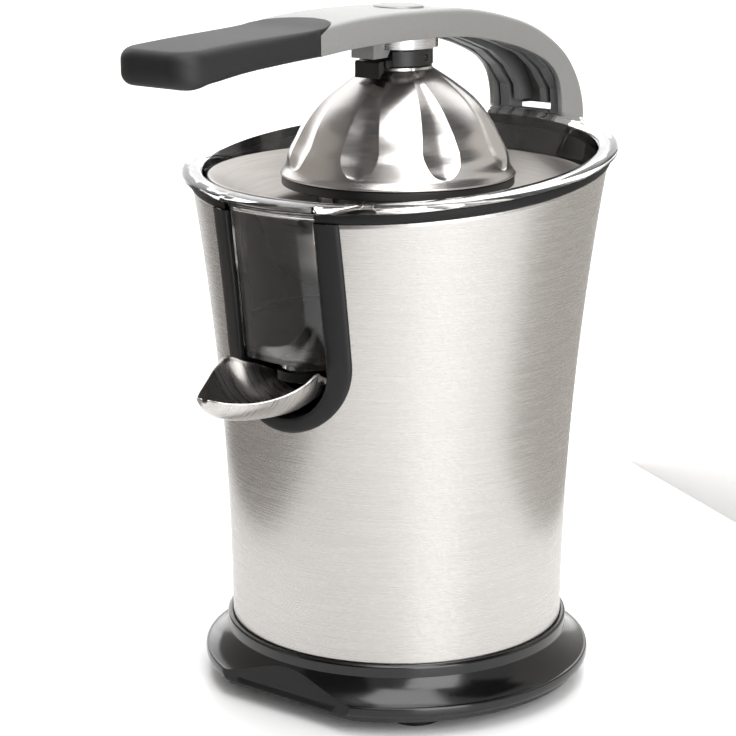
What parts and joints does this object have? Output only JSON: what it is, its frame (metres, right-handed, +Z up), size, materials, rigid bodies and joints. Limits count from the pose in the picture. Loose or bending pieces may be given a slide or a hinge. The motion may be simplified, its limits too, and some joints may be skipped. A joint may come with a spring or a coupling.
{
  "type": "lever citrus press juicer",
  "caption": "Countertop lever citrus press: steel body with clear juice bowl, powered ribbed reamer, fold-up spout, and a hinged arm that swings a pressing dome onto the fruit.",
  "frame": {"origin": "on the table under the drive axis, at the level of the feet's undersides", "axes": "+Z up along the drive axis, -Y to the front where the spout and the grip are, +Y to the arm hinge, +X to the user's right when facing the spout"},
  "size_m": [0.1906, 0.2751, 0.3016],
  "materials": {
    "brushed_body_steel": "brushed around the body",
    "pressed_steel": "fine brushed",
    "polished_dome_steel": "polished",
    "ground_steel": "ground",
    "spring_steel": "drawn wire",
    "zinc_screw_steel": "zinc plated",
    "motor_can_steel": "drawn sheet",
    "motor_core_steel": "stacked sheets",
    "turned_boss_metal": "fine turned",
    "bronze_bush": "sintered",
    "copper_wire": "enamelled",
    "silver_arm_paint": "silver metallic paint",
    "soft_grip": "soft touch",
    "clear_bowl": "clear moulded plastic",
    "gloss_black_base": "gloss, satin on the flat front",
    "black_trim_plastic": "satin",
    "black_inner_plastic": "matt",
    "black_reamer_plastic": "satin",
    "black_rubber": "matt",
    "pale_gear_plastic": "natural moulded",
    "grey_gearbox_plastic": "moulded"
  },
  "bodies": {
    "base_unit": {"steel_body": "brushed_body_steel", "inner_carrier": "black_inner_plastic", "notch_trim": "black_trim_plastic", "rim_gasket": "black_rubber", "juice_bowl": "clear_bowl", "outlet_seal": "black_rubber", "strainer": "pressed_steel", "tower_bush": "bronze_bush", "shaft_seal": "black_rubber", "return_spring": "spring_steel", "switch_body": "black_inner_plastic", "idler_axle": "ground_steel", "gearbox_base": "grey_gearbox_plastic", "gearbox_cover": "grey_gearbox_plastic", "gearbox_screws": "zinc_screw_steel", "motor_frame": "motor_can_steel", "motor_mount": "motor_can_steel", "motor_screws": "zinc_screw_steel", "motor_bushes": "bronze_bush", "motor_field": "motor_core_steel", "field_windings": "copper_wire", "brush_holders": "black_inner_plastic", "base_skirt": "gloss_black_base", "bottom_plate": "black_inner_plastic", "rubber_feet": "black_rubber", "plate_screws": "zinc_screw_steel", "tie_rods": "zinc_screw_steel", "cord_gland": "black_rubber", "hinge_bracket": "black_trim_plastic", "bracket_screws": "zinc_screw_steel", "hinge_pin": "ground_steel"},
    "arm": {"arm_cover": "silver_arm_paint", "arm_frame": "grey_gearbox_plastic", "arm_screws": "zinc_screw_steel", "arm_cap": "silver_arm_paint", "boss_screw": "zinc_screw_steel", "arm_grip": "soft_grip", "dome_boss": "turned_boss_metal", "latch_bracket": "turned_boss_metal", "friction_washers": "pale_gear_plastic"},
    "dome": {"dome_hub": "black_trim_plastic", "swivel_pin": "ground_steel", "dome_shell": "polished_dome_steel", "dome_liner": "black_trim_plastic", "dome_screws": "zinc_screw_steel"},
    "tab": {"release_tab": "black_trim_plastic"},
    "press_plate": {"thrust_plate": "ground_steel"},
    "reamer": {"drive_shaft": "ground_steel", "reamer_cone": "black_reamer_plastic", "reamer_insert": "black_inner_plastic"},
    "output_wheel": {"output_gear": "pale_gear_plastic"},
    "idler_wheel": {"idler_gear": "pale_gear_plastic"},
    "armature": {"armature_core": "motor_core_steel", "armature_shaft": "ground_steel", "commutator": "copper_wire", "cooling_fan": "pale_gear_plastic", "motor_pinion": "bronze_bush"},
    "plunger": {"switch_plunger": "pale_gear_plastic"},
    "spout": {"juice_spout": "pressed_steel", "spout_pins": "ground_steel"}
  },
  "joints": [
    {"name": "arm_lift", "type": "hinge", "parent": "base_unit", "child": "arm", "pos_m": [0, 0.108, 0.236], "axis": [-1, 0, 0], "range_deg": [0, 80]},
    {"name": "dome_swivel", "type": "hinge", "parent": "arm", "child": "dome", "pos_m": [0, 0, 0.2797], "axis": [1, 0, 0], "range_deg": [-2, 2]},
    {"name": "tab_press", "type": "hinge", "parent": "dome", "child": "tab", "pos_m": [0, -0.0168, 0.2779], "axis": [-1, 0, 0], "range_deg": [0, 5], "stiffness_Nm_per_rad": 0.02, "springref_deg": -17.19},
    {"name": "shaft_press", "type": "slide", "parent": "base_unit", "child": "press_plate", "axis": [0, 0, 1], "range_m": [-0.003, 0], "stiffness_N_per_m": 800, "springref_m": 0.004, "deforming": ["return_spring"]},
    {"name": "reamer_spin", "type": "hinge", "parent": "press_plate", "child": "reamer", "pos_m": [0, 0, 0.2], "axis": [0, 0, 1], "continuous": true},
    {"name": "output_spin", "type": "hinge", "parent": "base_unit", "child": "output_wheel", "pos_m": [0, 0, 0.1125], "axis": [0, 0, 1], "continuous": true},
    {"name": "idler_spin", "type": "hinge", "parent": "base_unit", "child": "idler_wheel", "pos_m": [0, 0.035, 0.108], "axis": [0, 0, 1], "continuous": true},
    {"name": "armature_spin", "type": "hinge", "parent": "base_unit", "child": "armature", "pos_m": [-0.02, 0.01002, 0.06], "axis": [0, 0, 1], "continuous": true},
    {"name": "plunger_slide", "type": "slide", "parent": "base_unit", "child": "plunger", "axis": [0, 0, 1], "range_m": [-0.003, 0]},
    {"name": "spout_tilt", "type": "hinge", "parent": "base_unit", "child": "spout", "pos_m": [0, -0.073, 0.152], "axis": [-1, 0, 0], "range_deg": [0, 12]}
  ],
  "couplings": [
    {"joint": "output_spin", "follows": "reamer_spin", "ratio": 1},
    {"joint": "idler_spin", "follows": "reamer_spin", "ratio": -4},
    {"joint": "armature_spin", "follows": "reamer_spin", "ratio": 14.286},
    {"joint": "plunger_slide", "follows": "shaft_press", "ratio": 1}
  ]
}
